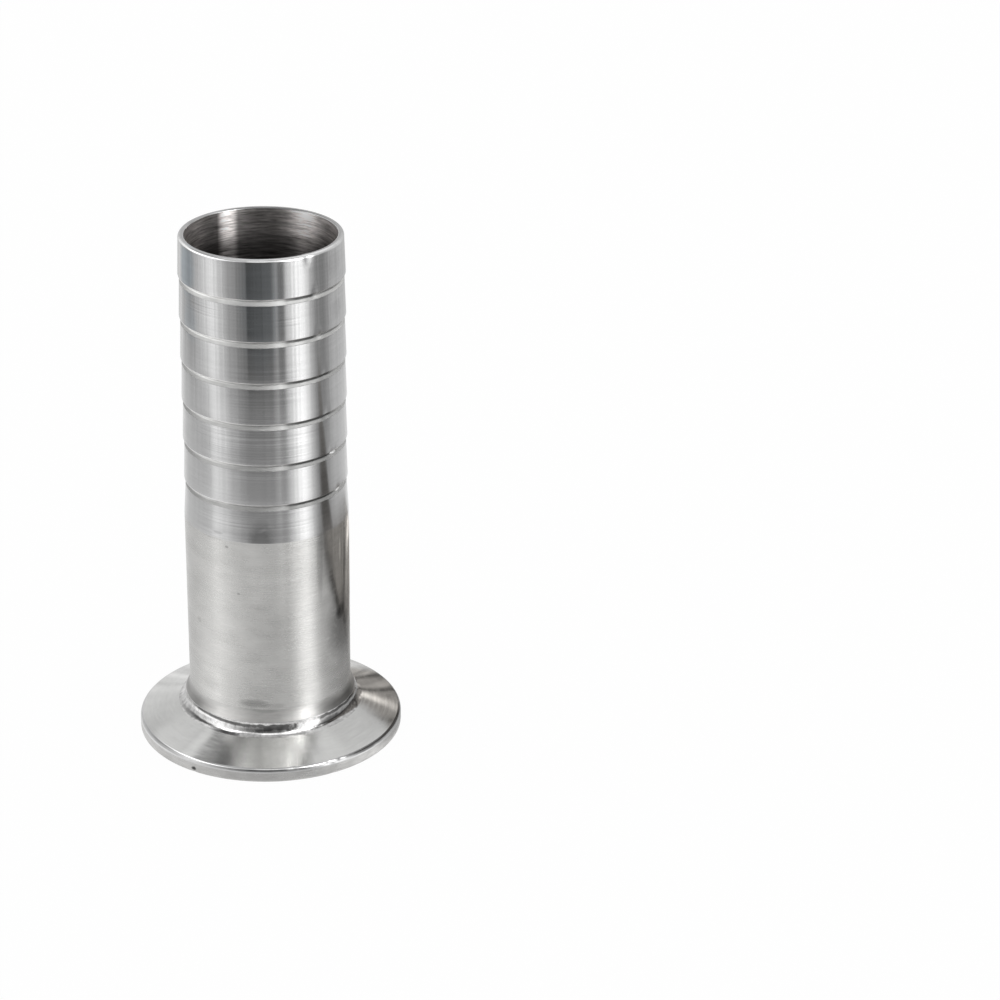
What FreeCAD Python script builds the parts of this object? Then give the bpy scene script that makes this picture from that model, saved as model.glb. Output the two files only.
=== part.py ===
import FreeCAD, Part

import math
import os

# Sanitary clamp hose barb, turned in one piece from stainless steel.
# It stands on its clamp face: the axis is Z, the face is at z = 0 and the hose end is up.
# Lengths are in millimetres and angles in degrees.

total_length = 100.1
bore_diameter = 28.0
wall = 1.5

# Clamp flange
flange_diameter = 50.5
rim_thickness = 2.5
rim_back_chamfer = 0.45
rim_face_chamfer = 0.25
back_slope = 20.0

# Gasket groove in the clamp face, measured in from the rim to the middle of the groove
gasket_groove_inset = 3.5
gasket_groove_width = 3.4
gasket_groove_depth = 1.4
gasket_groove_slope = 30.0

# Collar between the flange and the tube: a turned fillet, a ridge, and a flare to the tube
collar_height = 0.8
collar_ridge_z = 7.7
collar_fillet = 2.2
collar_flare_angle = 28.0
collar_flare_round = 4.0

# Barbs: each one widens gently towards the flange and ends in a square step over a groove.
# The depths are measured from the tube's surface, and the lengths along the axis.
barb_count = 6
barb_pitch = 8.05
first_barb_length = 7.6
barb_nose_depth = 0.4
barb_crest_depth = 0.15
barb_root_depth = 0.8
barb_root_length = 0.2
barb_shoulder_slope = 26.0
run_out_length = 6.2

# Edges of the bore
mouth_round = 0.55
mouth_chamfer = 0.25
face_bore_chamfer = 0.4

# A rounding takes at most this share of the shorter side beside its corner
most_of_side = 0.9

bore_radius = bore_diameter / 2
tube_radius = bore_radius + wall
rim_radius = flange_diameter / 2
collar_radius = tube_radius + collar_height
nose_radius = tube_radius - barb_nose_depth
crest_radius = tube_radius - barb_crest_depth
root_radius = tube_radius - barb_root_depth


def back_z(radius):
    """Height of the flange's sloping back at this radius."""
    return rim_thickness + (rim_radius - radius) * math.tan(math.radians(back_slope))


def clamp_face():
    """Corners of the clamp face, from the bore out to the rim, as radius, height and rounding."""
    middle = rim_radius - gasket_groove_inset
    half_mouth = gasket_groove_width / 2
    half_floor = half_mouth - gasket_groove_depth * math.tan(math.radians(gasket_groove_slope))
    return [
        (bore_radius, face_bore_chamfer, 0),
        (bore_radius + face_bore_chamfer, 0, 0),
        (middle - half_mouth, 0, 0),
        (middle - half_floor, gasket_groove_depth, 0),
        (middle + half_floor, gasket_groove_depth, 0),
        (middle + half_mouth, 0, 0),
        (rim_radius - rim_face_chamfer, 0, 0),
        (rim_radius, rim_face_chamfer, 0),
    ]


def back_and_collar():
    """Corners from the rim up the flange's back and over the collar to the plain tube."""
    chamfer_radius = rim_radius - rim_back_chamfer
    flare_length = collar_height / math.tan(math.radians(collar_flare_angle))
    return [
        (rim_radius, rim_thickness - rim_back_chamfer, 0),
        (chamfer_radius, back_z(chamfer_radius), 0),
        (collar_radius, back_z(collar_radius), collar_fillet),
        (collar_radius, collar_ridge_z, 0),
        (tube_radius, collar_ridge_z + flare_length, collar_flare_round),
    ]


def barbs():
    """Corners of the run-out and the barbs, from the plain tube up to the last groove."""
    shoulder_length = (nose_radius - root_radius) / math.tan(math.radians(barb_shoulder_slope))
    groove_length = barb_root_length + shoulder_length
    lowest_step_z = total_length - first_barb_length - (barb_count - 1) * barb_pitch
    corners = [(tube_radius, lowest_step_z - groove_length - run_out_length, 0)]
    for number in range(barb_count):
        step_z = lowest_step_z + number * barb_pitch
        corners += [
            (nose_radius, step_z - groove_length, 0),
            (root_radius, step_z - barb_root_length, 0),
            (root_radius, step_z, 0),
            (crest_radius, step_z, 0),
        ]
    return corners


def mouth():
    """Corners of the hose end, from the first barb's nose into the bore."""
    return [
        (nose_radius, total_length, mouth_round),
        (bore_radius + mouth_chamfer, total_length, 0),
        (bore_radius, total_length - mouth_chamfer, 0),
    ]


def section(corners):
    """A closed face in the XZ plane through the corners, each with its own rounding."""
    points = [FreeCAD.Vector(radius, 0, height) for radius, height, _ in corners]
    count = len(points)
    edges = []
    pen = None
    for index in range(count + 1):
        corner = points[index % count]
        to_before = points[index - 1] - corner
        to_after = points[(index + 1) % count] - corner
        half_angle = to_before.getAngle(to_after) / 2
        room = most_of_side * min(to_before.Length, to_after.Length)
        reach = min(corners[index % count][2] / math.tan(half_angle), room)
        radius = reach * math.tan(half_angle)
        to_before.normalize()
        to_after.normalize()
        start = corner + to_before * reach
        end = corner + to_after * reach
        if pen:
            edges.append(Part.LineSegment(pen, start).toShape())
        if reach > 0 and index < count:
            to_centre = (to_before + to_after).normalize()
            middle = corner + to_centre * (radius / math.sin(half_angle) - radius)
            edges.append(Part.Arc(start, middle, end).toShape())
        pen = end
    return Part.Face(Part.Wire(edges))


def hose_barb():
    """The whole fitting, turned about its axis."""
    outline = clamp_face() + back_and_collar() + barbs() + mouth()
    return section(outline).revolve(FreeCAD.Vector(0, 0, 0), FreeCAD.Vector(0, 0, 1), 360)


os.makedirs("parts", exist_ok=True)
solid = hose_barb()
solid.exportStep("parts/hose_barb.step")
print("valid", solid.isValid(), "volume", round(solid.Volume, 1), "mm3")
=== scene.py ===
import math

import bpy
from mathutils import Matrix, Vector

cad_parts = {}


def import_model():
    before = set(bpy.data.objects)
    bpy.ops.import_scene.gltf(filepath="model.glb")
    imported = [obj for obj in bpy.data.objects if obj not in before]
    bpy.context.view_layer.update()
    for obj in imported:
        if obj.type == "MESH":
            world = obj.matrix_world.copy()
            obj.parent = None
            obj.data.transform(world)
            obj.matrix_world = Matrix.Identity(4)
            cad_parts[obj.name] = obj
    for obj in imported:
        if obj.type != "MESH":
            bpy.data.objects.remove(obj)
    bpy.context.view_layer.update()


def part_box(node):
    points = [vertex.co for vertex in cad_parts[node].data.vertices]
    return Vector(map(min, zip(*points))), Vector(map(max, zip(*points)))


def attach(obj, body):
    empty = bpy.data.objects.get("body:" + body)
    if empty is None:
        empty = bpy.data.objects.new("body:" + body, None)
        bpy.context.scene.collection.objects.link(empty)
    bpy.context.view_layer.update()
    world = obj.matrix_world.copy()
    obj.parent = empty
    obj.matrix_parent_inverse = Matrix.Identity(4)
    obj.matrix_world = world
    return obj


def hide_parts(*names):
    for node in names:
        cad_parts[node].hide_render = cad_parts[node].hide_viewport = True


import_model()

NODE = "hose_barb"
MM = 0.001
MICROMETRE = 0.000001
WHITE = (1, 1, 1, 1)

# Sizes of the fitting, in millimetres. The overall ones come from the frame.
far_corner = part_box(NODE)[1]
total_length = far_corner[2] / MM
rim_radius = far_corner[0] / MM
bore_radius = 14.0
tube_radius = 15.5
collar_radius = 16.3

# Clamp flange, with the gasket groove in its face
rim_thickness = 2.5
back_slope = math.radians(20)
rim_back_round = 0.9
rim_face_round = 0.28
face_bore_round = 0.4
gasket_groove_radius = 21.75
gasket_groove_half_width = 1.7
gasket_groove_half_floor = 0.9
gasket_groove_depth = 1.4
gasket_groove_inner_round = 0.25
gasket_groove_outer_round = 0.2
gasket_groove_floor_round = 0.8

# Collar: a fillet on the flange's back, a ridge, and a flare to the tube
collar_ridge_z = 7.7
collar_ridge_round = 0.15
collar_fillet = 2.2
collar_flare_angle = math.radians(28)
collar_flare_round = 4.0

# Barbs: each one widens gently towards the flange and ends in a square step over a groove
barb_count = 6
barb_pitch = 8.05
first_step_depth = 7.6
nose_radius = 15.1
nose_round = 0.35
crest_radius = 15.35
crest_round = 0.24
root_radius = 14.7
root_length = 0.2
root_round = 1.2
step_round = 0.12
shoulder_slope = math.radians(26)
run_out_length = 6.2
run_out_round = 6.0

# Edges of the mouth
mouth_outer_round = 0.55
mouth_inner_round = 0.25

# A rounding takes at most this share of the shorter side beside its corner
most_of_side = 0.9

# The studio around the fitting, in millimetres
wall_radius = 120
wall_height = 300
ground_inner_radius = 25.6
ground_height = 0.1
card_radius = 50
card_height = 66

# Finishes, in the order of the piece's material slots
FINISHES = ["satin", "flare", "turned", "groove", "edge", "bright", "fillet", "back", "rim", "face", "bore"]

# Small dents: bearing in degrees from the front and positive to the right, height, half width, depth
DENTS = [
    (-36.0, 0.7, 0.55, 0.30),
    (9.0, 2.6, 0.35, 0.18),
    (25.6, 2.3, 0.6, 0.22),
    (31.0, 2.5, 0.4, 0.18),
    (26.5, 0.4, 0.7, 0.10),
    (52.0, 2.0, 0.5, 0.10),
    (33.0, 99.7, 0.7, 0.14),
    (38.0, 92.4, 0.5, 0.16),
    (41.0, 84.4, 0.6, 0.16),
    (46.0, 76.3, 0.5, 0.14),
    (48.0, 68.2, 0.6, 0.16),
    (52.0, 60.2, 0.5, 0.20),
    (56.0, 60.4, 0.4, 0.16),
    (60.0, 52.1, 0.5, 0.16),
]

# Marks on the steel: bearing and height, half width and half height, in degrees and millimetres,
# and a value. A painted mark darkens the steel by that share, as painted shade and painted
# reflections, or lightens it where the value is below 0, as a painted highlight.
# A score makes the rings stronger by that many times.
SATIN_PAINTED_MARKS = [
    (-29.3, 43.5, 1.5, 0.3, 0.35), (-21.1, 34.2, 1.2, 0.25, 0.3), (-58, 26, 3, 0.6, 0.15),
    (-42, 45.2, 12, 0.8, 0.15), (26, 10.2, 6, 3, -0.1), (61, 26.8, 7, 1.6, 0.3),
    (70, 24.5, 6, 1.8, 0.2), (67, 24, 23, 7.5, 0.45), (68, 35.0, 2.2, 5.0, 0.35),
    (71, 38.5, 3, 5.0, 0.35), (38.5, 40, 3, 9, 0.22), (60.5, 39.7, 1.5, 2.6, -0.4),
    (-47, 13.5, 15, 5, -0.11), (-12, 11.4, 11, 0.9, 0.32), (1, 10.9, 9, 0.6, 0.15),
]
FLARE_PAINTED_MARKS = [(-14, 10.7, 12, 0.8, 0.28), (-4, 9.9, 9, 0.5, 0.2), (26, 10.2, 6, 3, -0.1)]
TURNED_PAINTED_MARKS = [
    (-4.5, 44, 9, 5.5, 0.3), (0, 44, 22, 5.5, 0.14), (-36.5, 46.0, 5, 0.3, 0.25),
    (58, 97, 9, 3, 0.12), (62, 88, 8, 2, 0.1), (4, 67, 26, 6, -0.08), (-27, 67, 13, 6, -0.09),
]
TURNED_SCORES = [
    (-46, 89.5, 16, 1.2, 4.0), (17, 88, 9, 1.5, 4.0), (-4, 65, 20, 1.6, 3.0), (-6, 58, 22, 1.0, 4.0),
    (-10, 48, 45, 6, 3.0), (-10, 64, 45, 6, 3.5), (0, 75, 24, 9, 3.5),
]
BRIGHT_PAINTED_MARKS = [
    (128, 2.4, 30, 3.0, 0.45), (63, 2.78, 35, 0.48, 0.68), (180, 100, 50, 1.6, 0.58),
    (-180, 100, 30, 1.6, 0.58), (-126, 100, 16, 1.6, 0.35), (118, 100, 18, 1.6, 0.3),
    (0, 100.3, 110, 0.45, -0.33),
]
BACK_PAINTED_MARKS = [(128, 2.6, 26, 1.2, 0.2)]
BACK_SCORES = [(86, 4.4, 14, 2.0, 7.0)]
RIM_PAINTED_MARKS = [(-36, 0.7, 1.3, 0.4, 0.85)]

# Painted glints on nicks in the two lowest steps, and where the first barbs look bluish
PAINTED_NICK_GLINTS = [(56.7, 60.25, 4.4, 0.55, 2.5), (62.8, 52.2, 4.8, 0.55, 2.5)]
COOL_PATCHES = [(-63, 96, 11, 6, 1.0), (-60, 86, 9, 4, 0.5), (-2, 92, 14, 14, 0.5)]


def back_z(radius):
    """Height of the flange's sloping back at this radius."""
    return rim_thickness + (rim_radius - radius) * math.tan(back_slope)


def clamp_face():
    """Corners from the bore out to the rim: radius, height, rounding, its finish, and the next side's."""
    middle = gasket_groove_radius
    inner_mouth = middle - gasket_groove_half_width
    outer_mouth = middle + gasket_groove_half_width
    inner_floor = middle - gasket_groove_half_floor
    outer_floor = middle + gasket_groove_half_floor
    return [
        (bore_radius, 0, face_bore_round, "bright", "face"),
        (inner_mouth, 0, gasket_groove_inner_round, "bright", "bright"),
        (inner_floor, gasket_groove_depth, gasket_groove_floor_round, "bright", "bright"),
        (outer_floor, gasket_groove_depth, gasket_groove_floor_round, "bright", "bright"),
        (outer_mouth, 0, gasket_groove_outer_round, "bright", "face"),
        (rim_radius, 0, rim_face_round, "rim", "rim"),
    ]


def back_and_collar():
    """Corners from the rim up the flange's back and over the collar to the plain tube."""
    flare_length = (collar_radius - tube_radius) / math.tan(collar_flare_angle)
    return [
        (rim_radius, rim_thickness, rim_back_round, "bright", "back"),
        (collar_radius, back_z(collar_radius), collar_fillet, "fillet", "fillet"),
        (collar_radius, collar_ridge_z, collar_ridge_round, "bright", "flare"),
        (tube_radius, collar_ridge_z + flare_length, collar_flare_round, "flare", "satin"),
    ]


def barbs():
    """Corners of the run-out and the barbs, from the plain tube up to the last groove."""
    groove_length = root_length + (nose_radius - root_radius) / math.tan(shoulder_slope)
    lowest_step_z = total_length - first_step_depth - (barb_count - 1) * barb_pitch
    run_out_z = lowest_step_z - groove_length - run_out_length
    corners = [(tube_radius, run_out_z, run_out_round, "turned", "turned")]
    for number in range(barb_count):
        step_z = lowest_step_z + number * barb_pitch
        corners += [
            (nose_radius, step_z - groove_length, nose_round, "groove", "groove"),
            (root_radius, step_z - root_length, root_round, "groove", "groove"),
            (root_radius, step_z, step_round, "edge", "edge"),
            (crest_radius, step_z, crest_round, "edge", "turned"),
        ]
    return corners


def mouth():
    """Corners of the hose end, from the first barb into the bore."""
    return [
        (nose_radius, total_length, mouth_outer_round, "bright", "turned"),
        (bore_radius, total_length, mouth_inner_round, "bright", "bore"),
    ]


def outline(corners, arc_step=math.radians(12), fewest_arc_steps=3, side_step=1.3):
    """Points of the closed section, in order, each with the finish of what follows it."""
    points = [Vector(corner[:2]) for corner in corners]
    trail = []
    for index, corner in enumerate(points):
        rounding, rounding_finish, finish = corners[index][2:]
        before = points[index - 1] - corner
        after = points[(index + 1) % len(points)] - corner
        half_angle = before.angle(after) / 2
        reach = min(rounding / math.tan(half_angle), most_of_side * min(before.length, after.length))
        radius = reach * math.tan(half_angle)
        to_centre = (before.normalized() + after.normalized()).normalized()
        centre = corner + to_centre * radius / math.sin(half_angle)
        start = corner + before.normalized() * reach - centre
        end = corner + after.normalized() * reach - centre
        turn = start.angle_signed(end)
        steps = max(fewest_arc_steps, math.ceil(abs(turn) / arc_step))
        for step in range(steps + 1):
            arm = start.copy()
            arm.rotate(Matrix.Rotation(-turn * step / steps, 2))
            trail.append((centre + arm, rounding_finish if step < steps else finish))
    filled = []
    for index, (point, finish) in enumerate(trail):
        following = trail[(index + 1) % len(trail)][0]
        pieces = max(1, math.ceil((following - point).length / side_step))
        for piece in range(pieces):
            filled.append((point.lerp(following, piece / pieces), finish))
    return filled


def dented(bearing, radius, height):
    """The radius of a point, at a bearing in radians and a height, pressed in where a dent is near."""
    for centre, level, half_width, depth in DENTS:
        across = (bearing - math.radians(centre)) * radius
        away = math.hypot(across, height - level) / half_width
        radius -= depth * math.exp(-away * away)
    return radius


def linked_object(name, vertices, faces):
    """An object in the scene with a mesh of its own name."""
    mesh = bpy.data.meshes.new(name)
    mesh.from_pydata(vertices, [], faces)
    made = bpy.data.objects.new(name, mesh)
    bpy.context.collection.objects.link(made)
    return made


def turned_piece(name, corners, segments=252):
    """One closed mesh, turned about Z through the corners. Its segments keep it under 200,000 triangles."""
    trail = outline(corners)
    vertices = []
    faces = []
    slots = []
    for radius, height in (point for point, _ in trail):
        for segment in range(segments):
            bearing = math.pi * (2 * segment / segments - 1)
            reach = dented(bearing, radius, height) * MM
            vertices.append((reach * math.sin(bearing), -reach * math.cos(bearing), height * MM))
    for ring, (_, finish) in enumerate(trail):
        lower = ring * segments
        upper = (ring + 1) % len(trail) * segments
        for segment in range(segments):
            side = (segment + 1) % segments
            faces.append((lower + segment, lower + side, upper + side, upper + segment))
            slots.append(FINISHES.index(finish))
    piece = linked_object(name, vertices, faces)
    piece.data.polygons.foreach_set("material_index", slots)
    piece.data.polygons.foreach_set("use_smooth", [True] * len(faces))
    piece.data.update()
    normals = piece.modifiers.new("flat sides stay flat", "WEIGHTED_NORMAL")
    normals.weight = 100
    return piece


def feed(tree, socket, value):
    """Sets an input, or links it to an output where the value is one. A node stands for its first output."""
    if isinstance(value, bpy.types.Node):
        value = value.outputs[0]
    if isinstance(value, bpy.types.NodeSocket):
        tree.links.new(value, socket)
    else:
        socket.default_value = value


def node(tree, kind, settings=None, **inputs):
    """A shader node with its settings, and its inputs fed by name, or by number as in _0."""
    made = tree.nodes.new(kind)
    for name, value in (settings or {}).items():
        setattr(made, name, value)
    for name, value in inputs.items():
        place = int(name[1:]) if name[0] == "_" else name.replace("_", " ")
        feed(tree, made.inputs[place], value)
    return made


def calculated(tree, operation, first, second=0.0):
    """A maths node for two values."""
    return node(tree, "ShaderNodeMath", {"operation": operation}, _0=first, _1=second)


def plus(tree, total, *terms):
    """The sum of some values."""
    for term in terms:
        total = calculated(tree, "ADD", total, term)
    return total


def minus(tree, first, second):
    """One value less another."""
    return calculated(tree, "SUBTRACT", first, second)


def times(tree, product, *factors):
    """The product of some values."""
    for factor in factors:
        product = calculated(tree, "MULTIPLY", product, factor)
    return product


def length(tree, x, y, z=0.0):
    """The length of a vector with these sides."""
    sides = node(tree, "ShaderNodeCombineXYZ", X=x, Y=y, Z=z)
    return node(tree, "ShaderNodeVectorMath", {"operation": "LENGTH"}, _0=sides).outputs["Value"]


def scaled(tree, source, from_low, from_high, to_low=0.0, to_high=1.0, interpolation="LINEAR"):
    """Maps one range of a value onto another, and stays within the second."""
    return node(tree, "ShaderNodeMapRange", {"interpolation_type": interpolation}, Value=source,
                From_Min=from_low, From_Max=from_high, To_Min=to_low, To_Max=to_high)


def by_height(tree, height, start, end, at_start=0.0, at_end=1.0, interpolation="LINEAR"):
    """A value that changes between two heights, in millimetres."""
    return scaled(tree, height, start * MM, end * MM, at_start, at_end, interpolation)


def from_noise(tree, source, low, high):
    """Maps a noise onto a range. Most of it lies between 0.3 and 0.7."""
    return scaled(tree, source, 0.3, 0.7, low, high)


def mixed(tree, factor, first, second):
    """Mixes two colours or values."""
    return node(tree, "ShaderNodeMix", {"data_type": "RGBA"}, _0=factor, _6=first, _7=second).outputs[2]


def ramp(tree, source, stops, start=-180.0, end=180.0):
    """A value that changes with a source, mostly the bearing: stops are pairs of it and a value."""
    made = node(tree, "ShaderNodeValToRGB", Fac=scaled(tree, source, start, end))
    elements = made.color_ramp.elements
    while len(elements) < len(stops):
        elements.new(0.5)
    for element, (stop, value) in zip(elements, stops):
        element.position = (stop - start) / (end - start)
        element.color = (value, value, value, 1)
    return made


def object_place(tree):
    """A point's X, Y and Z in the object, in metres."""
    place = node(tree, "ShaderNodeTexCoord").outputs["Object"]
    return node(tree, "ShaderNodeSeparateXYZ", Vector=place).outputs


def around_and_up(tree):
    """A point's bearing in degrees, from the front and positive to the right, and its height in metres."""
    x, y, z = object_place(tree)
    radians = calculated(tree, "ARCTAN2", x, times(tree, y, -1.0))
    return times(tree, radians, 180 / math.pi), z


def noise(tree, around, along, detail=3.0, roughness=0.6, seed=0.0):
    """
    A noise drawn out around the axis, so that it turns into fine rings: so many features a
    millimetre around it and along the section.
    """
    x, y, z = object_place(tree)
    run = plus(tree, z, length(tree, x, y))
    drawn_out = node(tree, "ShaderNodeCombineXYZ", X=times(tree, x, around / MM),
                     Y=times(tree, y, around / MM), Z=times(tree, run, along / MM))
    return node(tree, "ShaderNodeTexNoise", {"noise_dimensions": "4D"}, Vector=drawn_out, W=seed,
                Scale=1.0, Detail=detail, Roughness=roughness)


def patches(tree, marks, raggedness=0.6, full_within=0.6, none_beyond=1.15):
    """
    The sum of some marks: each has its value within a share of its size, and 0 beyond another
    share. The edge between them is soft and ragged.
    """
    bearing, height = around_and_up(tree)
    ragged = from_noise(tree, noise(tree, 0.5, 1.0, seed=11.0), -raggedness, raggedness)
    total = None
    for centre, level, half_width, half_height, value in marks:
        across = times(tree, minus(tree, bearing, centre), 1 / half_width)
        along = times(tree, minus(tree, height, level * MM), 1 / (half_height * MM))
        reach = length(tree, across, along, ragged)
        patch = scaled(tree, reach, full_within, none_beyond, value, 0.0)
        total = patch if total is None else plus(tree, patch, total)
    return total


def banded(tree, bearing, level, rows, half_blend=0.1):
    """A value by height and bearing: rows, from the lowest up, of a height in mm and a ramp's stops."""
    value = ramp(tree, bearing, rows[0][1])
    for (below, _), (above, stops) in zip(rows, rows[1:]):
        middle = (below + above) / 2
        share = by_height(tree, level, middle - half_blend, middle + half_blend)
        value = mixed(tree, share, value, ramp(tree, bearing, stops))
    return value


def steel(name, colour, roughness, anisotropy, rings, dashes, blotches, uneven=0.05, scored=(), painted_marks=()):
    """
    Stainless steel with what a lathe or a polishing belt leaves around it.
    Rings run all the way round, dashes are short and blotches are faint patches. Each is given
    as features a millimetre around, features a millimetre along, and strengths: a depth in
    micrometres for rings and dashes, and a share of the tone for all three. The roughness is
    uneven by so much either way. Scored marks strengthen the rings, and painted marks change
    the tone as painted shade, painted reflections and painted highlights.
    """
    ring_around, ring_along, ring_depth, ring_share = rings
    dash_around, dash_along, dash_depth, dash_share = dashes
    blotch_around, blotch_along, blotch_share = blotches

    material = bpy.data.materials.new(name)
    material.use_nodes = True
    tree = material.node_tree
    shader = tree.nodes["Principled BSDF"]
    quarter_turn = 0.25
    feed(tree, shader.inputs["Metallic"], 1.0)
    feed(tree, shader.inputs["Anisotropic"], anisotropy)
    feed(tree, shader.inputs["Anisotropic Rotation"], quarter_turn)
    tangent = node(tree, "ShaderNodeTangent", {"direction_type": "RADIAL", "axis": "Z"})
    feed(tree, shader.inputs["Tangent"], tangent)

    ring = noise(tree, ring_around, ring_along, 4.0, 0.7)
    dash = noise(tree, dash_around, dash_along, 3.0, 0.65, 3.0)
    blotch = noise(tree, blotch_around, blotch_along, 5.0, 0.6, 7.0)

    from_dash = from_noise(tree, dash, -uneven, uneven)
    from_blotch = from_noise(tree, blotch, roughness + uneven, roughness - uneven)
    feed(tree, shader.inputs["Roughness"], plus(tree, from_dash, from_blotch))

    dash_tone = from_noise(tree, dash, 1 - dash_share, 1 + dash_share)
    blotch_tone = from_noise(tree, blotch, 1 - blotch_share, 1 + blotch_share)
    ring_tone = from_noise(tree, ring, -ring_share, ring_share)
    if scored:
        ring_tone = times(tree, ring_tone, plus(tree, patches(tree, scored), 1.0))
    tone = times(tree, dash_tone, blotch_tone, plus(tree, ring_tone, 1.0))
    # Painted marks: painted shade and reflections darken the tone, painted highlights lighten it
    if painted_marks:
        tone = times(tree, tone, minus(tree, 1.0, patches(tree, painted_marks)))
    shaded = node(tree, "ShaderNodeVectorMath", {"operation": "SCALE"}, _0=colour, _3=tone)
    feed(tree, shader.inputs["Base Color"], shaded)

    ring_bump = node(tree, "ShaderNodeBump", Height=ring, Strength=1.0, Distance=ring_depth * MICROMETRE)
    dash_bump = node(tree, "ShaderNodeBump", Height=dash, Strength=1.0, Distance=dash_depth * MICROMETRE,
                     Normal=ring_bump)
    feed(tree, shader.inputs["Normal"], dash_bump)
    return material


def fed_input(material, name):
    """A material's tree, an input of its shader, and the output that feeds it."""
    tree = material.node_tree
    socket = tree.nodes["Principled BSDF"].inputs[name]
    return tree, socket, socket.links[0].from_socket


def shade(material, factor):
    """Multiplies a material's colour by a factor, made by a function of the material's tree."""
    tree, socket, before = fed_input(material, "Base Color")
    shaded = node(tree, "ShaderNodeVectorMath", {"operation": "SCALE"}, _0=before, _3=factor(tree))
    feed(tree, socket, shaded)


def roughen(material, extra):
    """Adds to a material's roughness what a function of the material's tree gives."""
    tree, socket, before = fed_input(material, "Roughness")
    feed(tree, socket, plus(tree, before, extra(tree)))


def tint(material, colour, factor):
    """Multiplies a material's colour by another one, as far as a function of the material's tree says."""
    tree, socket, before = fed_input(material, "Base Color")
    share = mixed(tree, factor(tree), WHITE, (*colour, 1))
    tinted = node(tree, "ShaderNodeVectorMath", {"operation": "MULTIPLY"}, _0=before, _1=share)
    feed(tree, socket, tinted)


def step_edge(tree):
    """The lower edge of each barb, with painted light on the left and painted shadow right of the front."""
    bearing, height = around_and_up(tree)
    left = [(-180, 1.6), (-50, 1.6), (-25, 1.2), (12, 1.0), (17, 0.4)]
    tone = banded(tree, bearing, height, [
        (72, left + [(50, 0.24), (54, 0.7), (90, 1.0), (150, 1.6)]),
        (88, left + [(35, 0.24), (39, 0.66), (90, 0.8), (150, 1.6)]),
    ])
    # Painted glints on the nicks in the two lowest steps
    return plus(tree, tone, patches(tree, PAINTED_NICK_GLINTS))


def groove_shadow(tree):
    """The groove's painted shade: a dark wedge under the step, right of the front, and painted light lower
    down.
    """
    bearing, height = around_and_up(tree)
    depth = minus(tree, (total_length - first_step_depth) * MM, height)
    below = calculated(tree, "MODULO", depth, barb_pitch * MM)
    upper_left = [(-180, 1.0), (-90, 1.2), (-50, 1.2), (-25, 0.95), (12, 0.88), (17, 0.25), (24, 0.1)]
    upper = banded(tree, bearing, height, [
        (72, upper_left + [(50, 0.1), (54, 0.3), (62, 0.65), (90, 0.8), (150, 1.0)]),
        (88, upper_left + [(37, 0.1), (41, 0.3), (90, 0.4), (150, 1.0)]),
    ])
    lower_left = [(-180, 0.75), (-60, 0.7), (-25, 0.8), (12, 0.85), (17, 0.46), (24, 0.5)]
    lower = banded(tree, bearing, height, [
        (72, lower_left + [(46, 0.52), (56, 0.75), (90, 0.9), (150, 0.75)]),
        (88, lower_left + [(33, 0.45), (42, 0.6), (55, 0.85), (90, 1.0), (150, 0.75)]),
    ])
    both = mixed(tree, by_height(tree, below, 0.42, 0.60), upper, lower)
    # Painted glints on the nicks in the two lowest steps
    return plus(tree, both, patches(tree, PAINTED_NICK_GLINTS))


def satin_painted_light(tree):
    """Painted light on the satin tube: lighter in front, just under the run-out."""
    bearing, height = around_and_up(tree)
    top = ramp(tree, bearing, [
        (-180, 1.0), (-38, 1.0), (-30, 0.95), (-18, 1.04), (-10, 1.22), (11, 1.24), (15, 1.08),
        (21, 0.9), (30, 0.92), (38, 1.0), (180, 1.0),
    ])
    return mixed(tree, by_height(tree, height, 28, 37), WHITE, top)


def polished_side(tree):
    """The satin tube is smoother on the right, under the run-out, where it reflects more sharply."""
    bearing, height = around_and_up(tree)
    side = ramp(tree, bearing, [(-180, 0.0), (34, 0.0), (48, 1.0), (110, 1.0), (150, 0.0), (180, 0.0)])
    return times(tree, side, by_height(tree, height, 17, 27, 0.0, -0.11))


def flare_painted_shading(tree):
    """Painted light and shade on the flare: as light as the tube in front, darker on sides and ridge."""
    bearing, height = around_and_up(tree)
    low = ramp(tree, bearing, [
        (-180, 0.6), (-75, 0.50), (-60, 0.44), (-48, 0.72), (-38, 0.88), (-15, 0.9), (10, 0.84),
        (14, 0.72), (18, 0.72), (22, 0.92), (31, 0.9), (36, 0.72), (50, 0.34), (68, 0.26),
        (80, 0.4), (180, 0.6),
    ])
    return mixed(tree, by_height(tree, height, 8.6, 10.2), low, (0.72, 0.72, 0.72, 1))


def rougher_flare(tree):
    """The flare's roughness grows from the tube's own towards the ridge."""
    return by_height(tree, around_and_up(tree)[1], 8.5, 11.2, 0.18, 0.0)


def bore_painted_light(tree):
    """The bore's painted shade below the mouth, with painted highlights in two upright streaks."""
    bearing, height = around_and_up(tree)
    streaks = ramp(tree, bearing, [
        (-180, 0.34), (-172, 0.31), (-162.5, 0.2), (-158.5, 0.8), (-150, 1.1), (-147.5, 0.75),
        (-145, 0.26), (-138, 0.34), (-132, 0.45), (-125, 0.42), (-112, 0.53), (-100, 0.4), (0, 0.25),
        (110, 0.45), (120, 0.5), (126, 0.5), (131, 0.65), (136, 1.0), (143, 1.2), (150, 1.05),
        (160, 0.52), (170, 0.36), (180, 0.34),
    ])
    return times(tree, by_height(tree, height, 92.8, 96.8, 0.25, 1.0), streaks)


def rougher_below(tree):
    """The barbs' roughness grows a little towards the tube."""
    return by_height(tree, around_and_up(tree)[1], 45, 90, 0.08, 0.0)


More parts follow.
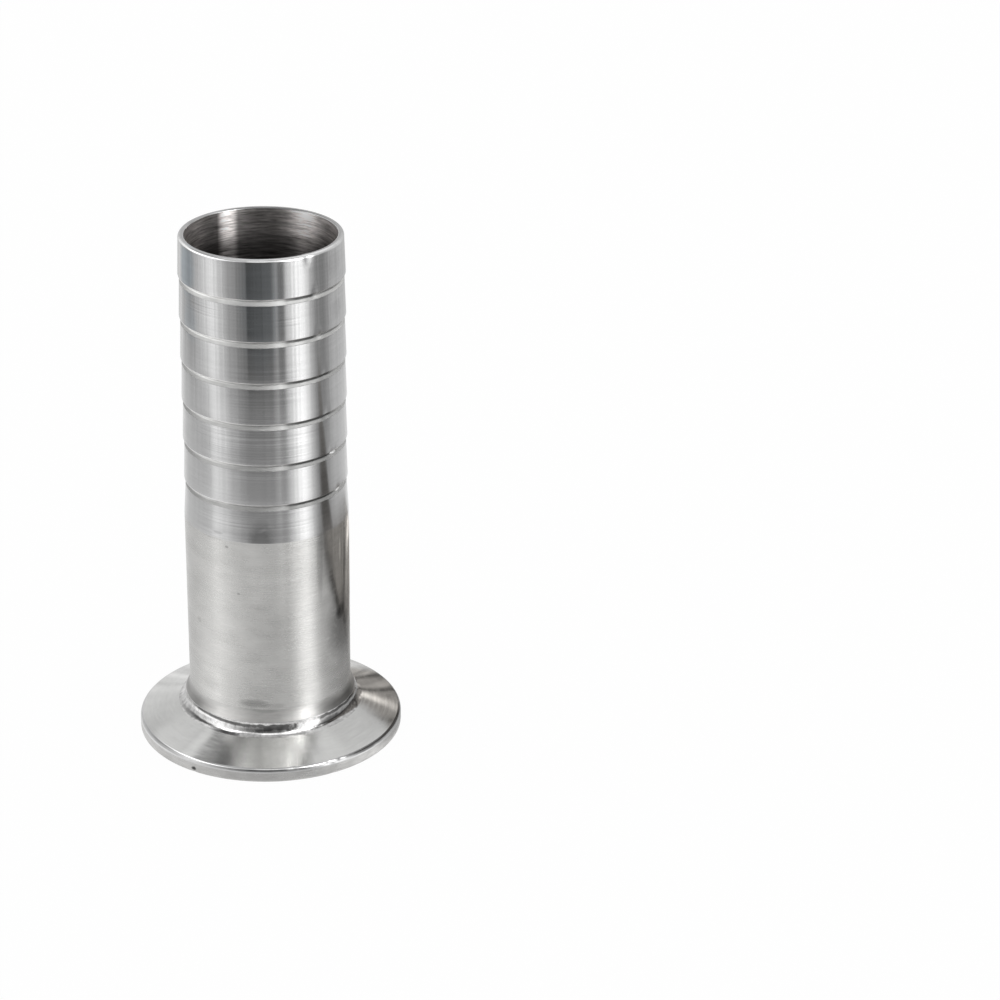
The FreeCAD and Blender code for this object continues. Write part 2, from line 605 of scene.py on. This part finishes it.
def fillet_painted_reflections(tree):
    """Painted reflections on the collar fillet: white on the left, dark and lumpy in front and right."""
    bearing, height = around_and_up(tree)
    lumps = noise(tree, 0.7, 0.8, seed=5.0)
    ragged = plus(tree, bearing, from_noise(tree, lumps, -4.0, 4.0))
    unevenness = ramp(tree, bearing, [
        (-180, 0.0), (-60, 0.04), (-24, 0.08), (-15, 0.2), (40, 0.25), (90, 0.25), (150, 0.0),
    ])
    upwards = times(tree, from_noise(tree, lumps, -MM, MM), unevenness)
    raised = ramp(tree, bearing, [
        (-180, 0.0), (-85, 0.1), (-62, 0.55), (-45, 0.45), (-25, 0.15), (14, 0.15), (24, 0.2),
        (40, 0.42), (80, 0.42), (120, 0.0),
    ])
    level = plus(tree, height, upwards, times(tree, raised, -MM))
    rows = [
        (4.8, [(-180, 1.0), (-70, 1.0), (-55, 0.72), (-28, 0.6), (-20, 1.0), (34, 1.0), (42, 0.76),
               (70, 0.76), (90, 1.0)]),
        (5.3, [(-180, 1.0), (-66, 0.8), (-56, 0.3), (-46, 0.2), (-30, 0.16), (-24, 0.3), (-18, 1.0),
               (34, 1.0), (40, 0.8), (80, 0.8), (90, 1.0)]),
        (5.5, [(-180, 1.0), (-66, 1.0), (-56, 1.44), (-22, 1.44), (-16, 1.1), (14, 1.1), (18, 0.56),
               (32, 0.4), (60, 0.5), (80, 0.4), (95, 1.0)]),
        (5.85, [(-180, 1.0), (-66, 1.0), (-56, 1.44), (-22, 1.44), (-16, 1.1), (14, 1.1), (18, 1.4),
                (32, 1.4), (36, 0.56), (60, 0.5), (80, 0.4), (95, 1.0)]),
        (6.25, [(-180, 1.0), (-66, 1.0), (-56, 1.5), (-24, 1.5), (-17, 1.0), (-9, 0.8), (-5, 0.32),
                (14, 0.32), (18, 1.5), (32, 1.5), (36, 0.8), (90, 1.0)]),
        (6.9, [(-180, 1.0), (-66, 1.0), (-56, 0.3), (-22, 0.24), (-16, 0.24), (14, 0.24), (18, 1.4),
               (30, 1.2), (36, 0.24), (80, 0.3), (95, 1.0)]),
        (7.45, [(-180, 1.0), (-50, 1.2), (50, 1.2), (90, 1.0)]),
    ]
    return banded(tree, ragged, level, rows)


def back_painted_reflections(tree):
    """Painted reflections on the flange's back: wedges of light and dark, mostly in front."""
    return ramp(tree, around_and_up(tree)[0], [
        (-180, 1.0), (-120, 1.0), (-95, 1.13), (-80, 1.0), (-66, 0.87), (-50, 0.8), (-45, 0.76),
        (-38, 1.0), (-32, 1.1), (-28.5, 0.98), (-25, 0.66), (-21.7, 0.52), (-18, 0.62), (-15, 0.88),
        (-11.7, 1.3), (-8.5, 1.4), (-2, 1.28), (1, 1.4), (4.5, 1.4), (7.5, 1.15), (10.6, 0.8),
        (14, 0.78), (17, 0.98), (20, 1.05), (22.5, 0.95), (26, 1.0), (180, 1.0),
    ])


def finishes():
    """One material for each finish of the fitting."""
    made = {
        "satin": steel("satin_steel", (0.68, 0.675, 0.66), 0.26, 0.95, (0.06, 2.4, 4, 0.02),
                       (0.3, 3.5, 3, 0.06), (0.12, 0.3, 0.05), painted_marks=SATIN_PAINTED_MARKS),
        # The flare's pale colour is brought down by its painted shading
        "flare": steel("turned_flare_steel", (0.95, 0.94, 0.92), 0.26, 0.95, (0.06, 2.4, 4, 0.04),
                       (0.3, 3.0, 4, 0.1), (0.12, 0.4, 0.1), painted_marks=FLARE_PAINTED_MARKS),
        "turned": steel("turned_steel", (0.66, 0.66, 0.66), 0.12, 0.85, (0.02, 2.4, 1.2, 0.04),
                        (0.15, 5.0, 0.6, 0.02), (0.1, 0.4, 0.03), 0.03, TURNED_SCORES, TURNED_PAINTED_MARKS),
        "groove": steel("groove_steel", (0.66, 0.66, 0.65), 0.5, 0.0, (0.05, 6.0, 1.5, 0.03),
                        (0.3, 4.0, 2, 0.08), (0.3, 1.0, 0.08)),
        "edge": steel("dull_edge_steel", (0.66, 0.65, 0.64), 0.35, 0.3, (0.1, 6.0, 2, 0.0),
                      (0.5, 4.0, 4, 0.2), (0.4, 1.0, 0.2)),
        "bright": steel("bright_steel", (0.68, 0.68, 0.68), 0.12, 0.5, (0.05, 4.0, 2, 0.0),
                        (0.5, 1.0, 8, 0.05), (0.2, 0.5, 0.05), 0.03, painted_marks=BRIGHT_PAINTED_MARKS),
        "fillet": steel("burnished_steel", (0.68, 0.675, 0.67), 0.1, 0.3, (0.05, 4.0, 2, 0.0),
                        (0.9, 1.0, 12, 0.15), (0.9, 1.0, 0.25), 0.03),
        "back": steel("brushed_back_steel", (0.66, 0.66, 0.65), 0.15, 0.75, (0.06, 3.0, 2, 0.02),
                      (0.25, 4.0, 3, 0.04), (0.15, 0.3, 0.04), scored=BACK_SCORES, painted_marks=BACK_PAINTED_MARKS),
        "rim": steel("rim_steel", (0.58, 0.575, 0.565), 0.3, 0.9, (0.04, 4.0, 4, 0.02),
                     (0.3, 3.0, 6, 0.08), (0.3, 0.6, 0.12), painted_marks=RIM_PAINTED_MARKS),
        "face": steel("faced_steel", (0.64, 0.64, 0.63), 0.28, 0.7, (0.02, 5.0, 3, 0.02),
                      (0.2, 4.0, 3, 0.05), (0.1, 0.3, 0.05)),
        "bore": steel("bored_steel", (0.92, 0.87, 0.85), 0.36, 0.95, (0.05, 2.0, 8, 0.4),
                      (0.3, 3.0, 4, 0.55), (0.1, 0.4, 0.06), 0.02),
    }
    for finish, factor in (
        ("edge", step_edge), ("groove", groove_shadow), ("bore", bore_painted_light), ("fillet", fillet_painted_reflections),
        ("back", back_painted_reflections), ("satin", satin_painted_light), ("flare", flare_painted_shading),
    ):
        shade(made[finish], factor)
    tint(made["turned"], (0.89, 0.97, 1.03), lambda tree: patches(tree, COOL_PATCHES))
    roughen(made["turned"], rougher_below)
    roughen(made["satin"], polished_side)
    roughen(made["flare"], rougher_flare)
    return [made[finish] for finish in FINISHES]


def world(horizon=0.95, overhead=0.5):
    """Even studio light: brighter around the horizon than overhead, and white to the camera."""
    made = bpy.data.worlds.new("studio")
    bpy.context.scene.world = made
    made.use_nodes = True
    tree = made.node_tree
    tree.nodes.clear()
    place = node(tree, "ShaderNodeTexCoord").outputs["Generated"]
    up = node(tree, "ShaderNodeSeparateXYZ", Vector=place).outputs["Z"]
    sky = scaled(tree, up, 0.75, 0.98, horizon, overhead)
    light = node(tree, "ShaderNodeBackground", Color=WHITE, Strength=sky)
    white = node(tree, "ShaderNodeBackground", Color=WHITE, Strength=1.0)
    rays = node(tree, "ShaderNodeLightPath").outputs
    mix = node(tree, "ShaderNodeMixShader", _0=rays["Is Camera Ray"], _1=light, _2=white)
    node(tree, "ShaderNodeOutputWorld", Surface=mix)


def studio_tree(panel):
    """The empty node tree of a new material on a part of the studio."""
    material = bpy.data.materials.new(panel.name)
    material.use_nodes = True
    material.node_tree.nodes.clear()
    panel.data.materials.append(material)
    return material.node_tree


def floor(half=1.5, white_to_camera=0.975, white_in_mirrors=0.6):
    """A plain white floor that keeps the fitting's soft shadow. Its white is colour, not light."""
    corners = [(-half, -half, 0), (half, -half, 0), (half, half, 0), (-half, half, 0)]
    plane = linked_object("floor", corners, [(0, 1, 2, 3)])
    tree = studio_tree(plane)
    matte = node(tree, "ShaderNodeBsdfDiffuse", Color=(0.9, 0.9, 0.9, 1))
    white = node(tree, "ShaderNodeEmission", Color=WHITE, Strength=1.0)
    rays = node(tree, "ShaderNodeLightPath").outputs
    seen = times(tree, rays["Is Camera Ray"], white_to_camera)
    mirrored = times(tree, rays["Is Glossy Ray"], white_in_mirrors)
    mix = node(tree, "ShaderNodeMixShader", _0=plus(tree, seen, mirrored), _1=matte, _2=white)
    node(tree, "ShaderNodeOutputMaterial", Surface=mix)


# The studio wall around the fitting: at each bearing, in degrees from the camera and positive to
# the right, how bright it is at its foot, in the middle, at its top and near the ceiling, and the
# height in millimetres where the top starts. The polished steel shows it as upright stripes: a
# dark camera in front, and a tall lamp panel on either side of it.
WALL = [
    (-180, 0.85, 0.66, 0.55, 0.90, 60), (-158, 0.85, 0.66, 0.62, 0.30, 60),
    (-143, 0.72, 0.76, 0.95, 0.30, 70), (-134, 0.66, 0.56, 1.10, 0.35, 80),
    (-118, 0.62, 0.44, 1.30, 0.60, 95), (-110, 0.60, 0.37, 1.80, 0.50, 100),
    (-102, 0.58, 0.48, 2.20, 0.45, 100), (-88, 0.58, 0.73, 2.40, 0.45, 100),
    (-80, 0.60, 0.85, 2.40, 0.45, 100), (-73, 0.92, 1.04, 2.40, 0.45, 100),
    (-65, 0.92, 1.00, 2.20, 0.45, 100), (-50, 0.68, 0.57, 1.60, 0.50, 100),
    (-42, 0.52, 0.42, 1.20, 0.55, 105), (-26, 0.32, 0.21, 0.90, 0.60, 125),
    (-21.5, 0.30, 0.22, 0.85, 0.95, 130), (-20, 0.30, 0.08, 0.85, 1.20, 130),
    (2, 0.30, 0.125, 0.85, 1.25, 130), (12, 0.33, 0.16, 0.90, 1.30, 130),
    (17, 0.52, 0.40, 1.00, 1.35, 120), (21, 0.34, 0.19, 1.10, 1.40, 110),
    (27, 0.40, 0.23, 1.80, 1.45, 100), (30, 0.58, 0.68, 3.50, 1.50, 95),
    (42, 1.13, 1.22, 6.00, 1.50, 95), (50, 1.65, 1.45, 7.00, 1.50, 95),
    (57, 1.24, 1.08, 5.00, 1.30, 95), (65, 0.74, 0.62, 2.00, 1.10, 95),
    (72, 0.36, 0.34, 0.90, 0.90, 90), (86, 0.28, 0.25, 0.60, 0.80, 90),
    (103, 0.56, 0.54, 0.80, 0.80, 80), (134, 0.70, 0.60, 0.80, 0.85, 60),
    (156, 0.78, 0.58, 0.55, 0.90, 60), (180, 0.85, 0.66, 0.55, 0.90, 60),
]

# The ground between the fitting and the wall, as reflections show it: a bearing and how bright it is.
# Its glow is painted light and shade of the floor, darkest on the right as a painted shadow.
GROUND = [
    (-180, 0.90), (-155, 0.85), (-147, 0.78), (-132, 0.70), (-116, 0.72), (-101, 0.80), (-87, 0.89),
    (-72, 0.97), (-65, 0.99), (-51, 0.89), (-38, 0.79), (-24, 0.72), (-10, 0.66), (3, 0.62),
    (17, 0.62), (24, 0.62), (31, 0.73), (37, 0.93), (44, 1.12), (52, 1.14), (58, 0.98), (65, 0.72),
    (73, 0.58), (87, 0.47), (101, 0.41), (132, 0.38), (140, 0.60), (147, 0.75), (155, 1.00),
    (165, 0.95), (172, 0.90), (180, 0.90),
]


def ring_strip(name, start, end, first=-180, last=180, segments=180):
    """A strip around the axis, from one radius and height to another, in mm, between two bearings."""
    vertices = []
    faces = []
    for segment in range(segments + 1):
        bearing = math.radians(first + (last - first) * segment / segments)
        for radius, level in (start, end):
            reach = radius * MM
            vertices.append((reach * math.sin(bearing), -reach * math.cos(bearing), level * MM))
        if segment:
            faces.append((2 * segment - 2, 2 * segment, 2 * segment + 1, 2 * segment - 1))
    return linked_object(name, vertices, faces)


def stage_only_in_reflections(panel):
    """Marks a studio panel that nothing but a reflection shows."""
    panel.visible_camera = False
    panel.visible_diffuse = False
    panel.visible_shadow = False
    panel.visible_transmission = False


def seams(tree, bearing, per_degree, detail, unevenness):
    """Narrow upright seams of light and shade: a factor around 1."""
    turn = times(tree, bearing, per_degree)
    grain = node(tree, "ShaderNodeTexNoise", {"noise_dimensions": "1D"}, W=turn,
                 Scale=1.0, Detail=detail, Roughness=0.7)
    return from_noise(tree, grain, 1 - unevenness, 1 + unevenness)


def wall():
    """An upright ring of panels around the fitting."""
    ring = ring_strip("wall", (wall_radius, 0), (wall_radius, wall_height))
    tree = studio_tree(ring)
    bearing, height = around_and_up(tree)

    def column(index, scale=1.0):
        return ramp(tree, bearing, [(row[0], row[index] * scale) for row in WALL])

    above_top = minus(tree, height, column(5, MM))
    in_middle = by_height(tree, height, 20, 55, interpolation="SMOOTHSTEP")
    at_top = by_height(tree, above_top, 0, 20, interpolation="SMOOTHSTEP")
    near_ceiling = by_height(tree, height, 165, 190, interpolation="SMOOTHSTEP")
    low = mixed(tree, in_middle, column(1), column(2))
    high = mixed(tree, near_ceiling, column(3), column(4))
    whole = mixed(tree, at_top, low, high)
    glow = node(tree, "ShaderNodeEmission", Color=whole, Strength=seams(tree, bearing, 0.35, 4.0, 0.24))
    node(tree, "ShaderNodeOutputMaterial", Surface=glow)
    stage_only_in_reflections(ring)


def ground():
    """A flat ring on the floor, from the wall in to the rim, that only reflections show."""
    ring = ring_strip("ground", (wall_radius, ground_height), (ground_inner_radius, ground_height))
    tree = studio_tree(ring)
    bearing, _ = around_and_up(tree)
    # The ring glows with painted floor light and shade
    glow = node(tree, "ShaderNodeEmission", Color=ramp(tree, bearing, GROUND), Strength=1.0)
    node(tree, "ShaderNodeOutputMaterial", Surface=glow)
    stage_only_in_reflections(ring)


def card_edge(tree, height, rows, top=50):
    """An edge of the side card: its bearing, by height. Rows are a height in mm and a bearing."""
    stops = [(level * MM, degrees / 180) for level, degrees in rows]
    return times(tree, ramp(tree, height, stops, 0.0, top * MM), 180.0)


def side_card():
    """
    A low brown card on the right that glows with painted light and shade, for the reflections of a
    second fitting lying there. Its left edge curves down and is black, with a black streak above,
    as painted shade, and a bright strip crosses its right half as a painted highlight.
    """
    ring = ring_strip("side_card", (card_radius, 0), (card_radius, card_height), 50, 178)
    tree = studio_tree(ring)
    bearing, height = around_and_up(tree)

    # Where the card is: between its edges and below its top
    left_edge = card_edge(tree, height, [
        (2, 118.8), (3, 109.8), (6, 100.8), (10, 94.5), (13, 89.46), (17, 83.7), (20, 79.56),
        (24, 72.9), (29, 63.9), (33, 62.1),
    ])
    right_edge = card_edge(tree, height, [
        (0, 149.94), (3, 151.92), (6, 165.06), (10, 172.08), (13, 172.08), (20, 156.96),
        (25, 145.08), (30, 133.92),
    ])
    inside = minus(tree, bearing, left_edge)
    softness = by_height(tree, height, 8, 14, -2.0, -8.0)
    right_of_left = scaled(tree, inside, softness, 1.0)
    left_of_right = scaled(tree, minus(tree, right_edge, bearing), 0.0, 6.0)
    below_top = by_height(tree, height, 30, 33, 1.0, 0.0)
    card = times(tree, right_of_left, left_of_right, below_top)

    # The streak above it, which leans to the left and narrows upwards
    streak_bearing = by_height(tree, height, 30, 60, 79.8, 71.3)
    streak_half_width = by_height(tree, height, 31, 60, 10.2, 3.4)
    off_streak = calculated(tree, "ABSOLUTE", minus(tree, bearing, streak_bearing))
    in_streak = scaled(tree, minus(tree, streak_half_width, off_streak), 0.0, 3.0)
    raised = calculated(tree, "GREATER_THAN", height, 29 * MM)
    cover = calculated(tree, "MAXIMUM", card, times(tree, in_streak, raised))

    # The card's brown, black at the left edge, with slanting dark lines
    brown = scaled(tree, bearing, 119.0, 126.0, 0.25, 0.34)
    blackened = scaled(tree, inside, 5.0, 9.0, 0.25, 1.0)
    slanted = plus(tree, bearing, times(tree, height, -0.43 / MM))
    lines = ramp(tree, slanted, [
        (-180, 1.0), (110, 1.0), (111.2, 0.3), (113.2, 0.3), (114.4, 1.0), (132.8, 1.0), (133.6, 0.1),
        (134.6, 0.1), (135.4, 1.2), (143.0, 1.2), (143.8, 0.15), (144.8, 0.15), (145.6, 1.3),
        (180, 1.3),
    ])
    lined = times(tree, seams(tree, bearing, 0.3, 3.0, 0.4), lines)
    under_streak = by_height(tree, height, 30, 32, 1.0, 0.0)
    card_tone = times(tree, brown, blackened, lined, under_streak)
    streak_tone = times(tree, by_height(tree, height, 36, 62, 0.065, 0.20), raised)

    # The bright strip, a painted highlight, with ragged edges
    strip_height = scaled(tree, bearing, 128.0, 140.0, 18.0 * MM, 21.8 * MM)
    grain = node(tree, "ShaderNodeTexNoise", Scale=700.0, Detail=3.0, Roughness=0.7)
    ragged = from_noise(tree, grain, -1.5 * MM, 1.5 * MM)
    off_strip = plus(tree, minus(tree, height, strip_height), ragged)
    strip = by_height(tree, calculated(tree, "ABSOLUTE", off_strip), 1.2, 3.4, 1.0, 0.0)
    strip_strength = ramp(tree, bearing, [
        (-180, 0.0), (125, 0.0), (129, 0.35), (134, 0.7), (138, 1.0), (143, 1.0), (148, 0.2),
        (180, 0.0),
    ])
    strip_tone = times(tree, strip, strip_strength)

    clear = node(tree, "ShaderNodeBsdfTransparent")
    glow = node(tree, "ShaderNodeEmission", Color=(1.0, 0.95, 0.9, 1),
                Strength=plus(tree, card_tone, streak_tone, strip_tone))
    mix = node(tree, "ShaderNodeMixShader", _0=cover, _1=clear, _2=glow)
    node(tree, "ShaderNodeOutputMaterial", Surface=mix)
    stage_only_in_reflections(ring)


def camera():
    """The photograph's view: a long lens, from the front and above, with the fitting on the left."""
    distance = 0.5266
    height = 0.2855
    yaw = math.radians(4.80)
    pitch = math.radians(24.41)
    roll = math.radians(0.75)
    data = bpy.data.cameras.new("camera")
    data.sensor_width = 36.0
    data.lens = 109.9
    eye = bpy.data.objects.new("camera", data)
    bpy.context.collection.objects.link(eye)
    eye.matrix_world = (
        Matrix.Translation((0, -distance, height))
        @ Matrix.Rotation(-yaw, 4, "Z")
        @ Matrix.Rotation(math.radians(90) - pitch, 4, "X")
        @ Matrix.Rotation(roll, 4, "Z")
    )
    bpy.context.scene.camera = eye


fitting = turned_piece("fitting", clamp_face() + back_and_collar() + barbs() + mouth())
for material in finishes():
    fitting.data.materials.append(material)
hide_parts(NODE)
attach(fitting, "root")

world()
floor()
wall()
ground()
side_card()
camera()
bpy.context.scene.view_settings.view_transform = "Standard"
